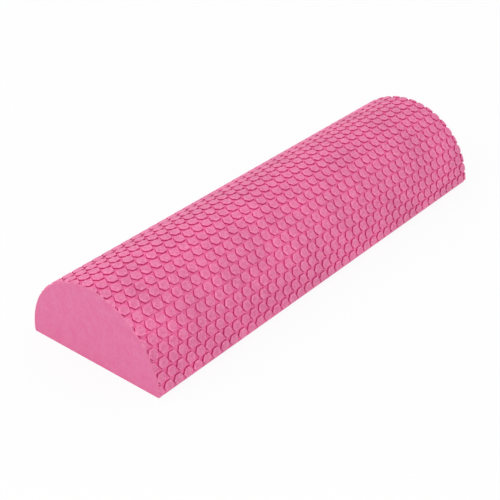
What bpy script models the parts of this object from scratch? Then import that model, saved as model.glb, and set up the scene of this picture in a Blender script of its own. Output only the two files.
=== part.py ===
"""Half round foam roller.

A half round of closed-cell EVA foam for stretching and balance work. Two slabs, bonded on top of each
other, make the core. A moulded skin with rows of hexagonal studs is bonded over the curve.

The roller lies along X on its flat base. The origin is the middle of the base, and Z points up.
All sizes are in metres.
"""

import math

import bmesh
import bpy

# Overall sizes of the half round, measured over the studs
LENGTH = 0.450
OUTER_RADIUS = 0.0735
# The base was sawn this far above the axis of the round bar
SAW_OFFSET = 0.0005
# Rounding where the curve meets the base
BASE_EDGE_RADIUS = 0.003

# Skin, bonded over the core
SKIN_THICKNESS = 0.005
BOND_GAP = 0.0003

# Studs: hexagons with their points along X, in rows that follow X and are staggered by half a pitch
STUD_PITCH = 0.01103
ROW_PITCH = 0.01033
STUD_HEIGHT = 0.0017
# Centre of the first whole stud, from the near end
FIRST_STUD = 0.0055
# The plain strip between the base and the first row at -Y, and the least width of the one at +Y
FIRST_STRIP = 0.0031
LEAST_STRIP = 0.001

# The whole round bar was bonded from this many slabs of one thickness, and the half holds half of them
SLABS_IN_BAR = 4

# Facets along curves
CORE_ARC_STEPS = 24
INSIDE_STEPS = 65
EDGE_STEPS = 3
# Vertices this close to an end are taken as lying on it when the pattern is cut
CUT_TOLERANCE = 0.0001

# Foam colours as sRGB hex, and the roughness of the moulded and of the cut surface
SKIN_COLOUR = "E272A3"
CORE_COLOUR = "E377A4"
SKIN_ROUGHNESS = 0.55
CORE_ROUGHNESS = 0.75


def linear(channel):
    """One sRGB channel from 0 to 1, as the linear value that a shader takes."""
    if channel <= 0.04045:
        return channel / 12.92
    return ((channel + 0.055) / 1.055) ** 2.4


def foam(name, colour, roughness):
    """A closed-cell EVA foam material."""
    material = bpy.data.materials.new(name)
    material.use_nodes = True
    shader = material.node_tree.nodes["Principled BSDF"]
    channels = [linear(int(colour[i:i + 2], 16) / 255) for i in (0, 2, 4)]
    shader.inputs["Base Color"].default_value = (*channels, 1)
    shader.inputs["Roughness"].default_value = roughness
    shader.inputs["Metallic"].default_value = 0
    return material


def add_object(name, mesh_data, material):
    """Writes a bmesh, with its faces outward, to a new object at the origin."""
    bmesh.ops.recalc_face_normals(mesh_data, faces=mesh_data.faces)
    mesh = bpy.data.meshes.new(name)
    mesh_data.to_mesh(mesh)
    mesh_data.free()
    mesh.materials.append(material)
    part = bpy.data.objects.new(name, mesh)
    bpy.context.scene.collection.objects.link(part)
    return part


class SkinSection:
    """The skin's outline across X, walked from the base at -Y over the crown to the base at +Y.

    A place on it is a path length from the start and a depth under the stud tops. The turn is the
    angle that the outward normal has turned, from straight down at the start.
    """

    def __init__(self):
        corner_rise = BASE_EDGE_RADIUS + SAW_OFFSET
        corner_reach = OUTER_RADIUS - BASE_EDGE_RADIUS
        self.corner_y = math.sqrt(corner_reach**2 - corner_rise**2)
        self.corner_turn = math.pi / 2 + math.asin(corner_rise / corner_reach)
        self.corner_length = BASE_EDGE_RADIUS * self.corner_turn
        self.crown_length = OUTER_RADIUS * 2 * (math.pi - self.corner_turn)
        self.length = 2 * self.corner_length + self.crown_length

    def point(self, path, depth):
        """(y, z) at this path length, this far under the stud tops."""
        if path < self.corner_length:
            turn = path / BASE_EDGE_RADIUS
            centre, radius = (-self.corner_y, BASE_EDGE_RADIUS), BASE_EDGE_RADIUS
        elif path > self.length - self.corner_length:
            turn = 2 * math.pi - (self.length - path) / BASE_EDGE_RADIUS
            centre, radius = (self.corner_y, BASE_EDGE_RADIUS), BASE_EDGE_RADIUS
        else:
            turn = self.corner_turn + (path - self.corner_length) / OUTER_RADIUS
            centre, radius = (0, -SAW_OFFSET), OUTER_RADIUS
        reach = radius - depth
        return centre[0] - reach * math.sin(turn), centre[1] - reach * math.cos(turn)


class StudField:
    """The studded outside of the skin, as vertices on a staggered lattice and the faces between them.

    A row's studs meet at their points, and their corners lie on the borders between rows. Between the
    studs lie three-sided pockets, each with one deep point. Columns are half a pitch apart: the points
    of odd rows lie on even columns, and those of even rows on odd columns. The lattice starts before
    the near end and runs past the far end, so that both ends cut through it.
    """

    def __init__(self, mesh_data):
        self.mesh = mesh_data
        self.section = SkinSection()
        self.half_pitch = STUD_PITCH / 2
        self.columns = range(-2, math.ceil(LENGTH / self.half_pitch) + 3)
        self.rows = int((self.section.length - FIRST_STRIP - LEAST_STRIP) / ROW_PITCH)
        self.borders = [self.border_line(b) for b in range(self.rows + 1)]
        for row in range(self.rows):
            self.add_row(row)

    def vertex(self, x, path, depth):
        y, z = self.section.point(path, depth)
        return self.mesh.verts.new((x, y, z))

    def border(self, number):
        return FIRST_STRIP + number * ROW_PITCH

    def centre(self, row):
        return self.border(row) + ROW_PITCH / 2

    def column_x(self, column):
        return -LENGTH / 2 + FIRST_STUD + (column - 1) * self.half_pitch

    def border_line(self, number):
        """The stud corners along one border, by the column that they follow."""
        path = self.border(number)
        return {c: self.vertex(self.column_x(c) + self.half_pitch / 2, path, 0) for c in self.columns}

    def pocket(self, point, left, right, x, row, border):
        """A three-sided pocket between two studs' meeting point and a border."""
        path = (self.centre(row) + 2 * self.border(border)) / 3
        deep = self.vertex(x, path, STUD_HEIGHT)
        for here, there in ((point, left), (left, right), (right, point)):
            self.mesh.faces.new((here, there, deep))

    def add_row(self, row):
        """One row's studs and the pockets on both sides of each meeting point."""
        low, high = self.borders[row], self.borders[row + 1]
        columns = [c for c in self.columns if (row + c) % 2 == 1]
        points = {c: self.vertex(self.column_x(c), self.centre(row), 0) for c in columns}
        for column, point in points.items():
            if column + 2 in points:
                following = points[column + 2]
                self.mesh.faces.new((point, low[column], low[column + 1], following))
                self.mesh.faces.new((point, following, high[column + 1], high[column]))
            if column - 1 in low:
                x = self.column_x(column)
                self.pocket(point, low[column - 1], low[column], x, row, row)
                self.pocket(point, high[column - 1], high[column], x, row, row + 1)


def add_plain_strips(field):
    """Plain strips from the outer rows down to the base, in short steps round the edge."""
    section = field.section

    def strip(border_line, path, step):
        line = border_line
        for _ in range(EDGE_STEPS):
            path += step
            following = {c: field.vertex(v.co.x, path, 0) for c, v in line.items()}
            for c in list(line)[:-1]:
                field.mesh.faces.new((line[c], line[c + 1], following[c + 1], following[c]))
            line = following

    last = field.border(field.rows)
    strip(field.borders[0], FIRST_STRIP, -FIRST_STRIP / EDGE_STEPS)
    strip(field.borders[-1], last, (section.length - last) / EDGE_STEPS)


def cut_end(mesh_data, x, outward):
    """Cuts the pattern off at an end, and returns the vertices of the cut from +Y over the crown to -Y."""
    geometry = [*mesh_data.verts, *mesh_data.edges, *mesh_data.faces]
    bmesh.ops.bisect_plane(
        mesh_data,
        geom=geometry,
        dist=CUT_TOLERANCE,
        plane_co=(x, 0, 0),
        plane_no=(outward, 0, 0),
        clear_outer=True,
    )
    edge_verts = {v for e in mesh_data.edges if e.is_boundary for v in e.verts}
    ring = [v for v in edge_verts if abs(v.co.x - x) <= CUT_TOLERANCE]
    for vertex in ring:
        vertex.co.x = x
    return sorted(ring, key=angle_about_axis)


def angle_about_axis(vertex):
    return math.atan2(vertex.co.z + SAW_OFFSET, vertex.co.y)


def zip_lines(mesh_data, outer, inner):
    """Triangles between two lines round the axis, each new one where the next vertex comes first."""
    i, j = 0, 0
    while i + 1 < len(outer) or j + 1 < len(inner):
        inner_ends = j + 1 == len(inner)
        outer_goes = i + 1 < len(outer) and (
            inner_ends or angle_about_axis(outer[i + 1]) < angle_about_axis(inner[j + 1])
        )
        if outer_goes:
            mesh_data.faces.new((outer[i], outer[i + 1], inner[j]))
            i += 1
        else:
            mesh_data.faces.new((outer[i], inner[j + 1], inner[j]))
            j += 1


def build_skin():
    """The skin: studded outside, plain strips down to the base, and a smooth inside on the core."""
    mesh_data = bmesh.new()
    add_plain_strips(StudField(mesh_data))
    near_ring = cut_end(mesh_data, -LENGTH / 2, -1)
    far_ring = cut_end(mesh_data, LENGTH / 2, 1)

    inner_radius = OUTER_RADIUS - SKIN_THICKNESS
    base_angle = math.asin(SAW_OFFSET / inner_radius)
    sweep = math.pi - 2 * base_angle

    def inner_line(x):
        """The inside arc from base plane to base plane, in the rings' order."""
        line = []
        for i in range(INSIDE_STEPS + 1):
            angle = base_angle + sweep * i / INSIDE_STEPS
            y = inner_radius * math.cos(angle)
            z = inner_radius * math.sin(angle) - SAW_OFFSET
            line.append(mesh_data.verts.new((x, y, max(z, 0))))
        return line

    near_inside = inner_line(-LENGTH / 2)
    far_inside = inner_line(LENGTH / 2)
    for i in range(INSIDE_STEPS):
        mesh_data.faces.new((near_inside[i], near_inside[i + 1], far_inside[i + 1], far_inside[i]))
    zip_lines(mesh_data, near_ring, near_inside)
    zip_lines(mesh_data, far_ring, far_inside)
    base_flats = [
        base_flat(mesh_data, near_ring[0], far_ring[0], near_inside[0], far_inside[0]),
        base_flat(mesh_data, near_ring[-1], far_ring[-1], near_inside[-1], far_inside[-1]),
    ]
    bmesh.ops.triangulate(mesh_data, faces=base_flats)
    return add_object("studded_skin", mesh_data, foam("moulded EVA foam", SKIN_COLOUR, SKIN_ROUGHNESS))


def base_flat(mesh_data, near_edge, far_edge, near_inner, far_inner):
    """The narrow flat on the base plane, between the outside's lowest line and the inside."""
    line = [near_edge]
    while line[-1] is not far_edge:
        neighbours = [e.other_vert(line[-1]) for e in line[-1].link_edges if e.is_boundary]
        line.append(max(neighbours, key=lambda v: v.co.x))
    return mesh_data.faces.new([*line, far_inner, near_inner])


def core_radius():
    return OUTER_RADIUS - SKIN_THICKNESS - BOND_GAP


def core_arc(low_angle, high_angle):
    """Points on the core's round side between two angles above +Y, as (y, z)."""
    step = (high_angle - low_angle) / CORE_ARC_STEPS
    angles = [low_angle + step * i for i in range(CORE_ARC_STEPS + 1)]
    return [(core_radius() * math.cos(a), core_radius() * math.sin(a) - SAW_OFFSET) for a in angles]


def add_slab(name, outline, material):
    """A slab of the core, its outline at the near end pushed along X to the far end."""
    mesh_data = bmesh.new()
    end_face = mesh_data.faces.new([mesh_data.verts.new((-LENGTH / 2, y, z)) for y, z in outline])
    pushed = bmesh.ops.extrude_face_region(mesh_data, geom=[end_face])["geom"]
    moved = [v for v in pushed if isinstance(v, bmesh.types.BMVert)]
    bmesh.ops.translate(mesh_data, verts=moved, vec=(LENGTH, 0, 0))
    return add_object(name, mesh_data, material)


def build_core():
    """Two slabs inside the skin, the lower one on the base plane and the upper one bonded on it."""
    cut_foam = foam("cut EVA foam", CORE_COLOUR, CORE_ROUGHNESS)
    slab_thickness = 2 * core_radius() / SLABS_IN_BAR
    base = math.asin(SAW_OFFSET / core_radius())
    bond = math.asin(slab_thickness / core_radius())
    above_bond = math.asin((slab_thickness + BOND_GAP) / core_radius())
    lower = core_arc(base, bond) + core_arc(math.pi - bond, math.pi - base)
    add_slab("lower_core_slab", lower, cut_foam)
    add_slab("upper_core_slab", core_arc(above_bond, math.pi - above_bond), cut_foam)


def main():
    for old in list(bpy.data.objects):
        bpy.data.objects.remove(old)
    build_core()
    build_skin()


main()
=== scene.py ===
# %% [markdown]
# # Half round foam roller
#
# This lesson dresses a half round foam roller, the kind that lies on its flat side in a studio and is
# used for stretching, massage and balance work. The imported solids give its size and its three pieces:
# a lower and an upper slab of foam that are bonded into a core, and a moulded skin with hexagonal
# studs over the curve. Here each piece gets its fine shape and its finish, and then the scene gets
# a camera, a pale floor and soft light.

# %% Load the frame
import math

import bmesh
import bpy
import numpy as np
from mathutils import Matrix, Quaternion, Vector


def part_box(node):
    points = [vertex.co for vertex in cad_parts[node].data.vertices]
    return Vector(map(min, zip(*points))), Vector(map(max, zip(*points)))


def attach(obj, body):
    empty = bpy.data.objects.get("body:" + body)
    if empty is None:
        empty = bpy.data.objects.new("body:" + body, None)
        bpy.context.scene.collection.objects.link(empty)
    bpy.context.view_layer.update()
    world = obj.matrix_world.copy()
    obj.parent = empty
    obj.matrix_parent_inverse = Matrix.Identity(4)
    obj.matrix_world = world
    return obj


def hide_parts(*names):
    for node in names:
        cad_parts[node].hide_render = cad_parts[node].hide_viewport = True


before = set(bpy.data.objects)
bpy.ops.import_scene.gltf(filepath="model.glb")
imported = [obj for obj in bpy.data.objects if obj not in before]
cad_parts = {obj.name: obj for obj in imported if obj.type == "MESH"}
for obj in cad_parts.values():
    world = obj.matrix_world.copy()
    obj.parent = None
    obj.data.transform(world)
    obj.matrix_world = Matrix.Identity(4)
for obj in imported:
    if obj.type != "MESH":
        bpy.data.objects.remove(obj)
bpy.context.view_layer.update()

MM = 0.001
print("nodes:", sorted(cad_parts))

# %% [markdown]
# ## Sizes
#
# Length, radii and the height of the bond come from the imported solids, so the fine shapes can't drift
# away from them. The studs' own sizes were read from the photograph: their spacing along and across
# the rows, the gaps between them and their height. Sizes are written in millimetres, and MM turns them
# into Blender's metres.

# %% Sizes of the roller
skin_low, skin_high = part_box("studded_skin")
_, lower_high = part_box("lower_core_slab")
upper_low, upper_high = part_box("upper_core_slab")

LENGTH = skin_high.x - skin_low.x
NEAR_X = skin_low.x
FAR_X = skin_high.x
SAW_OFFSET = 0.5 * MM
OUTER_RADIUS = skin_high.z + SAW_OFFSET
BOND_Z = (lower_high.z + upper_low.z) / 2
INNER_RADIUS = upper_high.z + SAW_OFFSET + (upper_low.z - lower_high.z) / 2
BASE_EDGE_RADIUS = 3 * MM
NEAR_RIM_RADIUS = 2 * MM
print(f"length {LENGTH / MM:.1f}, radius {OUTER_RADIUS / MM:.2f}, core {INNER_RADIUS / MM:.2f} mm")

# %% Sizes of the studs
STUD_PITCH = 11.03 * MM
ROW_PITCH = 10.33 * MM
ROWS = 22
STUD_HEIGHT = 1.7 * MM
HALF_ACROSS_POINTS = 5.38 * MM
HALF_ACROSS_FLATS = HALF_ACROSS_POINTS * math.cos(math.radians(30))
# The plain strip at the base edge at -Y, before the first row
FIRST_ROW_PATH = 3.1 * MM
print(f"studs {2 * HALF_ACROSS_POINTS / MM:.1f} mm over their points, every {STUD_PITCH / MM:.2f} mm")

# %% [markdown]
# ## From a flat sheet to the curve
#
# The real skin is moulded flat or in a ring, and every stud has the same shape. So the pattern is laid
# out here on a flat sheet and then wrapped over the half round. A place on the sheet is an x along the
# roller and a path length across it, counted from the base edge at -Y over the crown to the base edge
# at +Y. A third value says how deep a point lies under the stud tops.
#
# Near the base the outline turns in over a small radius. The relief fades out there, so that the sheet
# ends level on the base plane.

# %% Wrap the sheet over the half round
CORNER_RISE = BASE_EDGE_RADIUS + SAW_OFFSET
CORNER_REACH = OUTER_RADIUS - BASE_EDGE_RADIUS
CORNER_Y = math.sqrt(CORNER_REACH**2 - CORNER_RISE**2)
CORNER_TURN = math.pi / 2 + math.asin(CORNER_RISE / CORNER_REACH)
CORNER_PATH = BASE_EDGE_RADIUS * CORNER_TURN
WHOLE_PATH = 2 * CORNER_PATH + 2 * OUTER_RADIUS * (math.pi - CORNER_TURN)
# The relief grows between these turns up from the base plane, and these distances from the near end
FADE_TURNS = (math.radians(20), math.radians(70))
RIM_FADE = (0.5 * MM, 1.7 * MM)


def smooth_step(value, low, high):
    """0 below low, 1 above high and a smooth ramp between."""
    share = np.clip((value - low) / (high - low), 0, 1)
    return share * share * (3 - 2 * share)


def rim_drop(x):
    """How far the surface falls away over the rounded rim of the near end."""
    inside = np.clip(NEAR_RIM_RADIUS - (x - NEAR_X), 0, NEAR_RIM_RADIUS)
    return NEAR_RIM_RADIUS - np.sqrt(NEAR_RIM_RADIUS**2 - inside**2)


def rim_fade(x):
    """0 at the near end, where the rim was sanded smooth, and 1 where the relief has its full depth."""
    return smooth_step(x - NEAR_X, *RIM_FADE)


def wrap(sheet):
    """Turns rows of (x, path, depth) into rows of (x, y, z)."""
    x, path, depth = sheet.T
    depth = depth * rim_fade(x)
    from_end = np.minimum(path, WHOLE_PATH - path)
    side = np.where(path < WHOLE_PATH / 2, -1.0, 1.0)
    on_corner = from_end < CORNER_PATH
    crown_turn = CORNER_TURN + (from_end - CORNER_PATH) / OUTER_RADIUS
    turn = np.where(on_corner, from_end / BASE_EDGE_RADIUS, crown_turn)
    radius = np.where(on_corner, BASE_EDGE_RADIUS, OUTER_RADIUS)
    centre_y = np.where(on_corner, CORNER_Y, 0.0)
    centre_z = np.where(on_corner, BASE_EDGE_RADIUS, -SAW_OFFSET)
    reach = radius - (depth + rim_drop(x)) * smooth_step(turn, *FADE_TURNS)
    y = side * (centre_y + reach * np.sin(turn))
    z = centre_z - reach * np.cos(turn)
    return np.column_stack([x, y, z])


print(f"the sheet is {WHOLE_PATH / MM:.1f} mm from base edge to base edge")

# %% [markdown]
# ## One stud
#
# A stud is a low hexagon with its points along the roller. It could be a cylinder with six sides and
# a bevel, but then the floor between the studs would be a second surface under it. Here one mesh makes
# both: each stud sits in a brick of floor, the bricks are laid like a wall, and 24 points on the
# brick's edge are joined ring by ring to 24 points on the hexagon. Every face is a clean quad, and only
# the top is closed by a fan of triangles.
#
# From the floor the side of a stud climbs steeply and rolls over into the top, as foam does when it
# springs back from a mould: seen across, it is a quarter of an ellipse. Its rings lie close together at
# the foot, where the side turns fastest. The top then rises by a hair to its middle. The corners
# of the hexagon are slightly rounded too.

# %% Rings of a stud
# A corner is rounded over the first share of a side, and its point is pulled inwards by the second
CORNER_ROUNDING_SHARE = 0.08
CORNER_PULL_SHARE = 0.015
# The side rolls over into the top within this width, with a ring of points at each share of it
ROLL_WIDTH = 1.0 * MM
ROLL_SHARES = (0, 0.03, 0.09, 0.19, 0.33, 0.5, 0.72, 1)
# The roll ends at this share of the full height, and a last ring lies on the top
ROLL_TOP_SHARE = 0.975
TOP_RING = (1.85 * MM, 0.998)
# A brick's edge along the roller has this many steps, as the plain grids have, so that all points meet
BRICK_STEPS = 8
BRICK_STEP = STUD_PITCH / BRICK_STEPS


def hexagon_ring(inset):
    """24 points on a rounded hexagon, counter-clockwise from its point at +X, as (x, path)."""
    scale = 1 - inset / HALF_ACROSS_FLATS
    turns = [math.radians(60 * i) for i in range(6)]
    corners = [Vector((math.cos(turn), math.sin(turn))) * HALF_ACROSS_POINTS for turn in turns]
    shares = (CORNER_ROUNDING_SHARE, 0.5, 1 - CORNER_ROUNDING_SHARE)
    ring = []
    for here, there in zip(corners, corners[1:] + corners[:1]):
        ring.append(here * (1 - CORNER_PULL_SHARE))
        ring += [here.lerp(there, share) for share in shares]
    return [point * scale for point in ring]


def brick_ring():
    """The edge of a stud's brick of floor, with as many points as the hexagon and in the same order."""
    right, top = STUD_PITCH / 2, ROW_PITCH / 2
    upper = [Vector((right, 0)), Vector((right, top / 2))]
    upper += [Vector((right - BRICK_STEP * i, top)) for i in range(BRICK_STEPS + 1)]
    upper += [Vector((-right, top / 2))]
    return upper + [-point for point in upper]


def stud_profile():
    """Each ring's inset from the foot, and its height as a share of the full height."""
    roll = [(ROLL_WIDTH * s, ROLL_TOP_SHARE * math.sqrt(1 - (1 - s) ** 2)) for s in ROLL_SHARES]
    return roll + [TOP_RING]


def stud_template():
    """One stud and its brick as (x, path, depth) rows around its centre, and its faces."""
    rings = [[(p.x, p.y, STUD_HEIGHT) for p in brick_ring()]]
    for inset, share in stud_profile():
        rings.append([(p.x, p.y, STUD_HEIGHT * (1 - share)) for p in hexagon_ring(inset)])
    rows = [point for ring in rings for point in ring]
    rows.append((0, 0, 0))
    count = len(rings[0])
    faces = []
    for level in range(len(rings) - 1):
        for i in range(count):
            here, there = level * count + i, level * count + (i + 1) % count
            faces.append((here, there, there + count, here + count))
    top = (len(rings) - 1) * count
    faces += [(top + i, top + (i + 1) % count, len(rows) - 1) for i in range(count)]
    return np.array(rows), faces


stud_rows, stud_faces = stud_template()
print(f"one stud has {len(stud_rows)} points and {len(stud_faces)} faces")

# %% [markdown]
# ## The studded sheet
#
# The bricks are laid in rows that follow the roller, and every other row is shifted by half a pitch.
# The rows run past both ends and are cut off there, as the real sheet is: at the near end the cut leaves
# half a stud in every other row.
#
# What isn't a brick is a plain grid with the same spacing of points, so that all edges meet: the narrow
# strips along the two base edges.

# %% Plain grids
def grid(xs, paths):
    """A plain piece of floor, as rows of (x, path, depth) and its faces."""
    rows = [(x, path, STUD_HEIGHT) for path in paths for x in xs]
    faces = []
    for j in range(len(paths) - 1):
        for i in range(len(xs) - 1):
            corner = j * len(xs) + i
            faces.append((corner, corner + 1, corner + 1 + len(xs), corner + len(xs)))
    return np.array(rows), faces


def steps(start, step, count):
    """Equal steps from start, both ends included."""
    return [start + step * i for i in range(count + 1)]


print("a brick's long edge has", BRICK_STEPS, "steps of", round(BRICK_STEP / MM, 2), "mm")

# %% Lay out the sheet
# Steps across the plain strips, before the first row and after the last
FIRST_STRIP_STEPS = 2
LAST_STRIP_STEPS = 4


def sheet_pieces():
    """All bricks and plain grids of the sheet, a little longer than the roller at both ends."""
    start_x = NEAR_X - STUD_PITCH
    half_brick = BRICK_STEPS // 2
    columns = math.ceil((FAR_X - start_x) / BRICK_STEP) + BRICK_STEPS
    all_xs = steps(start_x - half_brick * BRICK_STEP, BRICK_STEP, columns + half_brick)
    last_path = FIRST_ROW_PATH + ROWS * ROW_PITCH
    yield grid(all_xs, steps(0, FIRST_ROW_PATH / FIRST_STRIP_STEPS, FIRST_STRIP_STEPS))
    yield grid(all_xs, steps(last_path, (WHOLE_PATH - last_path) / LAST_STRIP_STEPS, LAST_STRIP_STEPS))
    for row in range(ROWS):
        row_path = FIRST_ROW_PATH + (row + 0.5) * ROW_PITCH
        x = start_x + row % 2 * STUD_PITCH / 2
        while x - STUD_PITCH / 2 < FAR_X:
            yield stud_rows + np.array((x, row_path, 0)), stud_faces
            x += STUD_PITCH


def join_pieces(pieces):
    """One table of rows and one list of faces from many pieces."""
    tables, faces, count = [], [], 0
    for rows, piece_faces in pieces:
        tables.append(rows)
        faces += [tuple(i + count for i in face) for face in piece_faces]
        count += len(rows)
    return np.concatenate(tables), faces


sheet, sheet_faces = join_pieces(sheet_pieces())
print(f"the sheet has {len(sheet)} points and {len(sheet_faces)} faces")

# %% [markdown]
# ## The skin
#
# The sheet becomes the outside of the skin. While it is still flat, points where bricks meet are
# merged, both ends are cut off, and the near end gets extra rows of points for its rounded rim. Then
# the sheet is wrapped and closed: a flat ring at each end, a narrow flat along each base edge and the
# smooth inside that is bonded to the core. The relief is kept as an attribute of the mesh, because
# the colour changes from the floor to the stud tops: painted shade at the foot of each stud, a
# painted highlight on its rolled edge and painted sheen on its top.

# %% Cut and wrap the outside
# Degrees round the near rim at which extra rows of points are cut in
RIM_TURNS = (10, 20, 32, 45, 60, 75, 90)
# Points closer than the first are one point, and the second is as near as a cut may pass a point
MERGE_DISTANCE = 0.002 * MM
CUT_TOLERANCE = 0.003 * MM


def cut_sheet(mesh_data, x, side=0):
    """Cuts across the flat sheet at x, and takes away what lies below (-1) or above (1) it."""
    bmesh.ops.bisect_plane(
        mesh_data,
        geom=[*mesh_data.verts, *mesh_data.edges, *mesh_data.faces],
        dist=CUT_TOLERANCE,
        plane_co=(x, 0, 0),
        plane_no=(1, 0, 0),
        clear_inner=side < 0,
        clear_outer=side > 0,
    )


def outside_mesh():
    """The wrapped sheet with its relief, from 0 on the floor to 1 on the stud tops."""
    mesh = bpy.data.meshes.new("sheet")
    mesh.from_pydata(sheet, [], sheet_faces)
    mesh_data = bmesh.new()
    mesh_data.from_mesh(mesh)
    bpy.data.meshes.remove(mesh)
    bmesh.ops.remove_doubles(mesh_data, verts=mesh_data.verts, dist=MERGE_DISTANCE)
    cut_sheet(mesh_data, NEAR_X, -1)
    cut_sheet(mesh_data, FAR_X, 1)
    for turn in RIM_TURNS:
        cut_sheet(mesh_data, NEAR_X + NEAR_RIM_RADIUS * (1 - math.cos(math.radians(turn))))
    relief = mesh_data.verts.layers.float.new("relief")
    flat = np.array([v.co for v in mesh_data.verts])
    depths = flat[:, 2] * rim_fade(flat[:, 0])
    for vertex, place, depth in zip(mesh_data.verts, wrap(flat), depths):
        vertex.co = place
        vertex[relief] = 1 - depth / STUD_HEIGHT
    return mesh_data


skin_mesh = outside_mesh()
print(f"the outside has {len(skin_mesh.faces)} faces")

# %% Close the skin
INSIDE_STEPS = 96
SHARP_ANGLE = math.radians(60)
# A point this near a plane lies on it
ON_PLANE = 0.01 * MM
# Where the inside meets the base plane, counted up from +Y round the bar's axis
BASE_ANGLE = math.asin(SAW_OFFSET / INNER_RADIUS)
# Numbers of the skin's two materials
MOULDED, CUT = 0, 1


def arc_points(radius, low_angle, high_angle, count):
    """(y, z) along an arc round the bar's axis, from low_angle to high_angle above +Y."""
    angles = np.linspace(low_angle, high_angle, count + 1)
    return [(radius * math.cos(a), radius * math.sin(a) - SAW_OFFSET) for a in angles]


def angle_about_axis(vertex):
    """How far round the bar's axis a point lies, counted up from +Y."""
    return math.atan2(vertex.co.z + SAW_OFFSET, vertex.co.y)


def close_skin(mesh_data):
    """Adds the end rings, the flats on the base plane and the smooth inside."""
    edge_verts = {v for e in mesh_data.edges if e.is_boundary for v in e.verts}
    near_ring = sorted((v for v in edge_verts if v.co.x < NEAR_X + ON_PLANE), key=angle_about_axis)
    far_ring = sorted((v for v in edge_verts if v.co.x > FAR_X - ON_PLANE), key=angle_about_axis)
    arc = arc_points(INNER_RADIUS, BASE_ANGLE, math.pi - BASE_ANGLE, INSIDE_STEPS)
    near_inside = [mesh_data.verts.new((NEAR_X, y, max(z, 0))) for y, z in arc]
    far_inside = [mesh_data.verts.new((FAR_X, y, max(z, 0))) for y, z in arc]
    for i in range(INSIDE_STEPS):
        quad = (near_inside[i], far_inside[i], far_inside[i + 1], near_inside[i + 1])
        mesh_data.faces.new(quad).material_index = MOULDED
    mesh_data.faces.new([*near_ring, *reversed(near_inside)]).material_index = CUT
    mesh_data.faces.new([*reversed(far_ring), *far_inside]).material_index = CUT
    for side, near, far in ((1, near_inside[0], far_inside[0]), (-1, near_inside[-1], far_inside[-1])):
        line = [v for v in edge_verts if abs(v.co.z) < ON_PLANE and v.co.y * side > 0]
        line.sort(key=lambda v: v.co.x)
        mesh_data.faces.new([*line, far, near]).material_index = CUT


close_skin(skin_mesh)
for edge in skin_mesh.edges:
    cut_edge = any(face.material_index == CUT for face in edge.link_faces)
    if cut_edge or edge.calc_face_angle(0) > SHARP_ANGLE:
        edge.smooth = False
bmesh.ops.recalc_face_normals(skin_mesh, faces=skin_mesh.faces)
open_edges = sum(not e.is_manifold for e in skin_mesh.edges)
print(f"the skin has {len(skin_mesh.faces)} faces and {open_edges} open edges")

# %% [markdown]
# ## The core
#
# The core is two slabs of closed-cell foam, bonded flat on each other, that fill the skin. Their round
# sides follow the inside of the skin, and only their cut ends and the base can be seen. The ends lie
# level with the ends of the skin, and on this roller no joint shows, so slabs and skin meet exactly.

# %% Make the slabs
SLAB_ARC_STEPS = 48
SLAB_SHARP_ANGLE = math.radians(30)


def slab_mesh(outline):
    """A slab with this (y, z) outline, pushed from the near to the far end."""
    mesh_data = bmesh.new()
    near = [mesh_data.verts.new((NEAR_X, y, z)) for y, z in outline]
    far = [mesh_data.verts.new((FAR_X, y, z)) for y, z in outline]
    mesh_data.faces.new(near)
    mesh_data.faces.new(list(reversed(far)))
    for i in range(len(outline)):
        j = (i + 1) % len(outline)
        mesh_data.faces.new((near[i], far[i], far[j], near[j]))
    bmesh.ops.recalc_face_normals(mesh_data, faces=mesh_data.faces)
    for edge in mesh_data.edges:
        edge.smooth = edge.calc_face_angle(0) < SLAB_SHARP_ANGLE
    return mesh_data


bond_angle = math.asin((BOND_Z + SAW_OFFSET) / INNER_RADIUS)
right_side = arc_points(INNER_RADIUS, BASE_ANGLE, bond_angle, SLAB_ARC_STEPS)
left_side = arc_points(INNER_RADIUS, math.pi - bond_angle, math.pi - BASE_ANGLE, SLAB_ARC_STEPS)
lower_mesh = slab_mesh(right_side + left_side)
upper_mesh = slab_mesh(arc_points(INNER_RADIUS, bond_angle, math.pi - bond_angle, 2 * SLAB_ARC_STEPS))
print(f"the slabs meet {BOND_Z / MM:.1f} mm above the base")

# %% [markdown]
# ## Materials
#
# Everything is EVA, a closed-cell foam of ethylene vinyl acetate, dyed through. Two surfaces of it
# show. The moulded skin was formed against hot metal, which melts the cells shut: it is even and
# satin, with a grain finer than a millimetre. The cut foam at the ends and under the base was sawn and
# sanded, so its cells are open, and it is more matt.
#
# Colours are written as sRGB hex values, and one function turns them into the linear numbers that
# shaders take. One more function adds a node with its settings and its links.

# %% Colour and node helpers
def colour(hex_value):
    """A linear RGBA colour from an sRGB hex string, by the numbers of the sRGB standard."""
    channels = [int(hex_value[i:i + 2], 16) / 255 for i in (0, 2, 4)]
    linear = [c / 12.92 if c <= 0.04045 else ((c + 0.055) / 1.055) ** 2.4 for c in channels]
    return (*linear, 1)


def add_node(tree, kind, inputs=None, **settings):
    """Adds a node, sets its properties, and sets or links its inputs by name or number."""
    node = tree.nodes.new(kind)
    for name, value in settings.items():
        setattr(node, name, value)
    for name, value in (inputs or {}).items():
        if isinstance(value, bpy.types.NodeSocket):
            tree.links.new(value, node.inputs[name])
        else:
            node.inputs[name].default_value = value
    return node


def new_material(name):
    """An empty material, its node tree and its Principled shader."""
    material = bpy.data.materials.new(name)
    material.use_nodes = True
    return material, material.node_tree, material.node_tree.nodes["Principled BSDF"]


print("the sRGB grey 808080 is", round(colour("808080")[0], 3), "in linear light")
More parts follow.
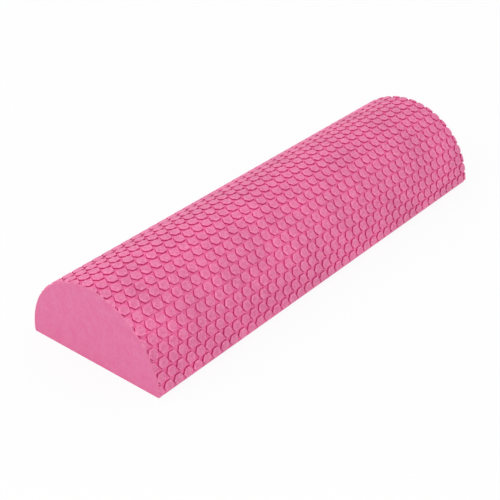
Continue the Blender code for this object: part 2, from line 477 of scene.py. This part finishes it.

# %% [markdown]
# ### Moulded EVA foam
#
# Closed-cell EVA has an IOR near 1.48, and as a moulded skin a roughness near 0.5: light spreads wide
# but not fully, so edges get a soft bright line. The hot metal leaves the skin denser and glossier than
# bare foam, so its mirror level is raised: where the curve is seen at a flat angle, the studs turn a
# little paler and greyer.
#
# The colour follows the relief. The floor is a bright full pink. The foot of each stud is crimson: painted
# shade, for the shadow in the narrow grooves between the studs. Over the rolled edge the pink grows
# lighter, a painted highlight, and the tops are a little greyer, a painted sheen. One attribute drives all
# of this, through a ramp.
#
# The grain is about 0.4 mm and goes into bump and roughness. It is finer than a pixel in a view of the
# whole roller, and shows from close up. A mottle of two to three millimetres and cloudy patches a few
# centimetres wide come from uneven melting and dye. Both make the pink lighter or darker, and where the
# mottle is light it is greyer too, so no two studs look quite the same.

# %% Pinks of the relief
# Greyer pink on the stud tops: painted sheen
STUD_TOP_PAINTED_SHEEN_PINK = "DF6898"
# Lighter pink over the rolled edge of each stud: a painted highlight
STUD_EDGE_PAINTED_HIGHLIGHT_PINK = "ED70A7"
# Crimson at the foot of each stud: painted shade, for the shadow in the narrow grooves between the studs
FOOT_PAINTED_SHADE_CRIMSON = "BC085E"
FLOOR_PINK = "EE60A0"
# Colours between the floor at 0 and the stud tops at 1, with painted shade at the foot and a painted
# highlight on the edge
RELIEF_PINKS_AND_PAINTED_LIGHT = [
    (0.02, FLOOR_PINK),
    (0.06, FOOT_PAINTED_SHADE_CRIMSON),
    (0.51, FOOT_PAINTED_SHADE_CRIMSON),
    (0.70, STUD_EDGE_PAINTED_HIGHLIGHT_PINK),
    (0.97, STUD_EDGE_PAINTED_HIGHLIGHT_PINK),
]


def relief_pink_and_painted_light(tree):
    """The pink at each height of the relief, with painted shade at the foot, a painted highlight on the
    edge and painted sheen on the top.
    """
    relief = add_node(tree, "ShaderNodeAttribute", attribute_name="relief")
    ramp = add_node(tree, "ShaderNodeValToRGB", {"Fac": relief.outputs["Fac"]})
    ramp.color_ramp.elements[0].color = colour(FLOOR_PINK)
    ramp.color_ramp.elements[1].color = colour(STUD_TOP_PAINTED_SHEEN_PINK)
    for position, pink in RELIEF_PINKS_AND_PAINTED_LIGHT:
        ramp.color_ramp.elements.new(position).color = colour(pink)
    return ramp.outputs["Color"]


print("the pink of the relief has", len(RELIEF_PINKS_AND_PAINTED_LIGHT) + 2, "stops")

# %% Uneven dye
# Each pair holds where the patterns are at their lowest, and then at their highest
BRIGHTNESS_RANGE = (0.66, 1.34)
SATURATION_RANGE = (1.18, 0.82)
# Each of the two patterns runs up to 1
HIGHEST_SUM = 2.0


def uneven_dye(tree, pink, clouds, mottle):
    """Makes the pink darker or lighter by both patterns, and greyer where the mottle is light."""
    both = add_node(tree, "ShaderNodeMath", {0: clouds, 1: mottle}, operation="ADD").outputs[0]
    darkest, lightest = BRIGHTNESS_RANGE
    brightness = add_node(
        tree,
        "ShaderNodeMapRange",
        {"Value": both, "From Max": HIGHEST_SUM, "To Min": darkest, "To Max": lightest},
    ).outputs["Result"]
    fullest, greyest = SATURATION_RANGE
    saturation = add_node(
        tree, "ShaderNodeMapRange", {"Value": mottle, "To Min": fullest, "To Max": greyest}
    ).outputs["Result"]
    dyed = add_node(tree, "ShaderNodeHueSaturation", {"Color": pink, "Saturation": saturation})
    tinted = add_node(
        tree,
        "ShaderNodeMix",
        {"Factor": 1.0, "A": dyed.outputs["Color"], "B": brightness},
        data_type="RGBA",
        blend_type="MULTIPLY",
    )
    return tinted.outputs["Result"]


print("the dye's brightness is within", BRIGHTNESS_RANGE, "and its saturation within", SATURATION_RANGE)

# %% Moulded EVA foam
FOAM_IOR = 1.48
SKIN_MIRROR_LEVEL = 1.0
SKIN_ROUGHNESS_RANGE = (0.46, 0.58)
DYE_CLOUD = 30 * MM
MELT_MOTTLE = 2.4 * MM
SKIN_GRAIN = 0.4 * MM
# How wide each pattern is, and how much finer detail is in it
SKIN_PATTERNS = ((DYE_CLOUD, 2.0), (MELT_MOTTLE, 2.0), (SKIN_GRAIN, 3.0))
GRAIN_STRENGTH = 0.25
GRAIN_DEPTH = 0.05 * MM


def moulded_foam():
    """Satin foam with crimson painted shade round each stud, painted highlights on its edges, painted
    sheen on its tops, and a grain that is barely seen.
    """
    material, tree, shader = new_material("moulded EVA foam")
    place = add_node(tree, "ShaderNodeTexCoord").outputs["Object"]
    noises = [
        add_node(tree, "ShaderNodeTexNoise", {"Vector": place, "Scale": 1 / width, "Detail": detail})
        for width, detail in SKIN_PATTERNS
    ]
    clouds, mottle, grain = (noise.outputs["Fac"] for noise in noises)
    pink = uneven_dye(tree, relief_pink_and_painted_light(tree), clouds, mottle)
    smoothest, roughest = SKIN_ROUGHNESS_RANGE
    roughness = add_node(
        tree, "ShaderNodeMapRange", {"Value": grain, "To Min": smoothest, "To Max": roughest}
    )
    bump = add_node(
        tree, "ShaderNodeBump", {"Height": grain, "Strength": GRAIN_STRENGTH, "Distance": GRAIN_DEPTH}
    )
    tree.links.new(pink, shader.inputs["Base Color"])
    tree.links.new(roughness.outputs["Result"], shader.inputs["Roughness"])
    tree.links.new(bump.outputs["Normal"], shader.inputs["Normal"])
    shader.inputs["IOR"].default_value = FOAM_IOR
    shader.inputs["Specular IOR Level"].default_value = SKIN_MIRROR_LEVEL
    return material


moulded = moulded_foam()
print(moulded.name, "has", len(moulded.node_tree.nodes), "nodes")

# %% [markdown]
# ### Cut EVA foam
#
# Sawn and sanded foam shows its cells, which are a few tenths of a millimetre wide. They are drawn as
# a fine cell pattern in the bump, and the roughness is higher than on the skin. Where the sanding belt
# opened more cells the pink is paler, in soft patches about a centimetre wide and in a mottle of about
# two millimetres. Two pinks are mixed by the sum of both patterns.

# %% Cut EVA foam
CUT_PINK_DEEP = "DF689A"
CUT_PINK_PALE = "E17AA6"
# The sum of both patterns up to which the pink is deep, and from which it is pale
PALE_RANGE = (0.7, 1.3)
CUT_ROUGHNESS = 0.72
SANDING_PATCH = 9 * MM
SANDING_MOTTLE = 2.2 * MM
SANDING_PATTERNS = ((SANDING_PATCH, 3.0), (SANDING_MOTTLE, 2.0))
FOAM_CELL = 0.45 * MM
CELL_STRENGTH = 0.3
CELL_DEPTH = 0.06 * MM


def cut_foam():
    """Matt foam with fine pores, a little paler here and there."""
    material, tree, shader = new_material("cut EVA foam")
    place = add_node(tree, "ShaderNodeTexCoord").outputs["Object"]
    noises = [
        add_node(tree, "ShaderNodeTexNoise", {"Vector": place, "Scale": 1 / width, "Detail": detail})
        for width, detail in SANDING_PATTERNS
    ]
    patches, mottle = (noise.outputs["Fac"] for noise in noises)
    both = add_node(tree, "ShaderNodeMath", {0: patches, 1: mottle}, operation="ADD").outputs[0]
    deep_up_to, pale_from = PALE_RANGE
    paleness = add_node(
        tree, "ShaderNodeMapRange", {"Value": both, "From Min": deep_up_to, "From Max": pale_from}
    )
    tinted = add_node(
        tree,
        "ShaderNodeMix",
        {"Factor": paleness.outputs["Result"], "A": colour(CUT_PINK_DEEP), "B": colour(CUT_PINK_PALE)},
        data_type="RGBA",
    )
    cells = add_node(tree, "ShaderNodeTexVoronoi", {"Vector": place, "Scale": 1 / FOAM_CELL})
    bump = add_node(
        tree,
        "ShaderNodeBump",
        {"Height": cells.outputs["Distance"], "Strength": CELL_STRENGTH, "Distance": CELL_DEPTH},
    )
    tree.links.new(tinted.outputs["Result"], shader.inputs["Base Color"])
    tree.links.new(bump.outputs["Normal"], shader.inputs["Normal"])
    shader.inputs["Roughness"].default_value = CUT_ROUGHNESS
    shader.inputs["IOR"].default_value = FOAM_IOR
    return material


cut = cut_foam()
print(cut.name, "has", len(cut.node_tree.nodes), "nodes")

# %% [markdown]
# ## Pieces on the frame
#
# Each piece rides on the roller's one body, stands for its imported solid and gets its materials. All
# three are firm foam, full and tight.

# %% Dress the frame
def new_object(name, mesh_data, materials):
    """Turns a bmesh into an object with these materials, soft shaded but for its sharp edges."""
    mesh = bpy.data.meshes.new(name)
    mesh_data.to_mesh(mesh)
    mesh_data.free()
    for material in materials:
        mesh.materials.append(material)
    mesh.polygons.foreach_set("use_smooth", [True] * len(mesh.polygons))
    piece = bpy.data.objects.new(name, mesh)
    bpy.context.scene.collection.objects.link(piece)
    return piece


def dress(piece, node):
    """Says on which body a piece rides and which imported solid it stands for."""
    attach(piece, "root")
    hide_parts(node)
    print(piece.name, "stands for", node)


dress(new_object("skin_with_studs", skin_mesh, [moulded, cut]), "studded_skin")
dress(new_object("upper_slab", upper_mesh, [cut]), "upper_core_slab")
dress(new_object("lower_slab", lower_mesh, [cut]), "lower_core_slab")

# %% [markdown]
# ## Camera
#
# The camera was placed by fitting the roller's outline and its rows of studs to the photograph. Its
# place is given by where it aims on the floor, its direction, its distance and a slight roll.

# %% Camera
CAMERA_AIM = Vector((-14.27, 13.71, 0)) * MM
CAMERA_AZIMUTH = math.radians(-49.486)
CAMERA_ELEVATION = math.radians(31.663)
CAMERA_ROLL = math.radians(-0.983)
CAMERA_DISTANCE = 1060.0 * MM
CAMERA_LENS = 81.95
NEAREST_SEEN = 10 * MM


def make_camera():
    """A camera behind the aimed point, turned by the roll."""
    back = Vector((
        math.sin(CAMERA_AZIMUTH) * math.cos(CAMERA_ELEVATION),
        -math.cos(CAMERA_AZIMUTH) * math.cos(CAMERA_ELEVATION),
        math.sin(CAMERA_ELEVATION),
    ))
    camera = bpy.data.objects.new("camera", bpy.data.cameras.new("camera"))
    bpy.context.scene.collection.objects.link(camera)
    camera.data.lens = CAMERA_LENS
    camera.data.clip_start = NEAREST_SEEN
    camera.location = CAMERA_AIM + back * CAMERA_DISTANCE
    camera.rotation_mode = "QUATERNION"
    camera.rotation_quaternion = Quaternion(back, CAMERA_ROLL) @ (-back).to_track_quat("-Z", "Y")
    return camera


bpy.context.scene.camera = make_camera()
print("camera at", [round(v, 3) for v in bpy.context.scene.camera.location])

# %% [markdown]
# ## Floor and light
#
# The roller lies on a white table under even studio light, with a large soft box at the upper left
# and a small weak one in front, which lifts the studs near the base. The floor is white, and most of
# what the camera sees of it is plain white, so that the roller's shadow stays only as a faint one.

# %% Floor
# In metres, far wider than a view of the roller
FLOOR_SIZE = 12.0
FLOOR_DROP = 0.3 * MM
FLOOR_WHITE = "F4F4F4"
FLOOR_ROUGHNESS = 0.8
FLOOR_GLOW_SHARE = 0.9
PLAIN_WHITE = "FFFFFF"
# The strength at which a glow of plain white is white in the picture
WHITE_STRENGTH = 1.0


def background_rays(tree):
    """1 where the background is seen, by the camera, in a mirror or through glass, and 0 elsewhere."""
    rays = add_node(tree, "ShaderNodeLightPath").outputs
    seen = rays["Is Camera Ray"]
    for other in ("Is Glossy Ray", "Is Transmission Ray"):
        seen = add_node(tree, "ShaderNodeMath", {0: seen, 1: rays[other]}, operation="MAXIMUM").outputs[0]
    return seen


def make_floor():
    """A matt white table that glows plain white to the camera, but for a share that takes shadow."""
    material, tree, shader = new_material("white table")
    shader.inputs["Base Color"].default_value = colour(FLOOR_WHITE)
    shader.inputs["Roughness"].default_value = FLOOR_ROUGHNESS
    glow = add_node(tree, "ShaderNodeEmission", {"Color": colour(PLAIN_WHITE), "Strength": WHITE_STRENGTH})
    share = add_node(
        tree, "ShaderNodeMath", {0: background_rays(tree), 1: FLOOR_GLOW_SHARE}, operation="MULTIPLY"
    )
    mixed = add_node(
        tree,
        "ShaderNodeMixShader",
        {"Fac": share.outputs[0], 1: shader.outputs[0], 2: glow.outputs[0]},
    )
    tree.links.new(mixed.outputs[0], tree.nodes["Material Output"].inputs["Surface"])
    mesh_data = bmesh.new()
    bmesh.ops.create_grid(mesh_data, x_segments=1, y_segments=1, size=FLOOR_SIZE / 2)
    floor = new_object("floor", mesh_data, [material])
    floor.location.z = -FLOOR_DROP
    print(floor.name, "of", material.name, FLOOR_SIZE, "m wide")


make_floor()

# %% Light
WORLD_LIGHT = 0.89


def make_world():
    """Even light from all sides, and plain white where the camera looks past the floor."""
    world = bpy.data.worlds.new("studio")
    world.use_nodes = True
    tree = world.node_tree
    strength = add_node(
        tree,
        "ShaderNodeMapRange",
        {"Value": background_rays(tree), "To Min": WORLD_LIGHT, "To Max": WHITE_STRENGTH},
    )
    tree.links.new(strength.outputs["Result"], tree.nodes["Background"].inputs["Strength"])
    tree.nodes["Background"].inputs["Color"].default_value = colour(PLAIN_WHITE)
    bpy.context.scene.world = world
    print("world light of", WORLD_LIGHT)


def soft_box(name, place, size, power):
    """A square area lamp that faces the middle of the roller, in metres and watts."""
    lamp = bpy.data.objects.new(name, bpy.data.lights.new(name, "AREA"))
    bpy.context.scene.collection.objects.link(lamp)
    lamp.data.size = size
    lamp.data.energy = power
    lamp.location = place
    lamp.rotation_mode = "QUATERNION"
    lamp.rotation_quaternion = (-lamp.location).to_track_quat("-Z", "Y")
    print(name, "of", power, "W")


make_world()
soft_box("soft_box_upper_left", place=(-0.9, 0.5, 1.3), size=1.2, power=5.0)
soft_box("soft_box_front", place=(-0.35, -0.75, 0.35), size=0.6, power=0.35)
bpy.context.scene.view_settings.view_transform = "Standard"
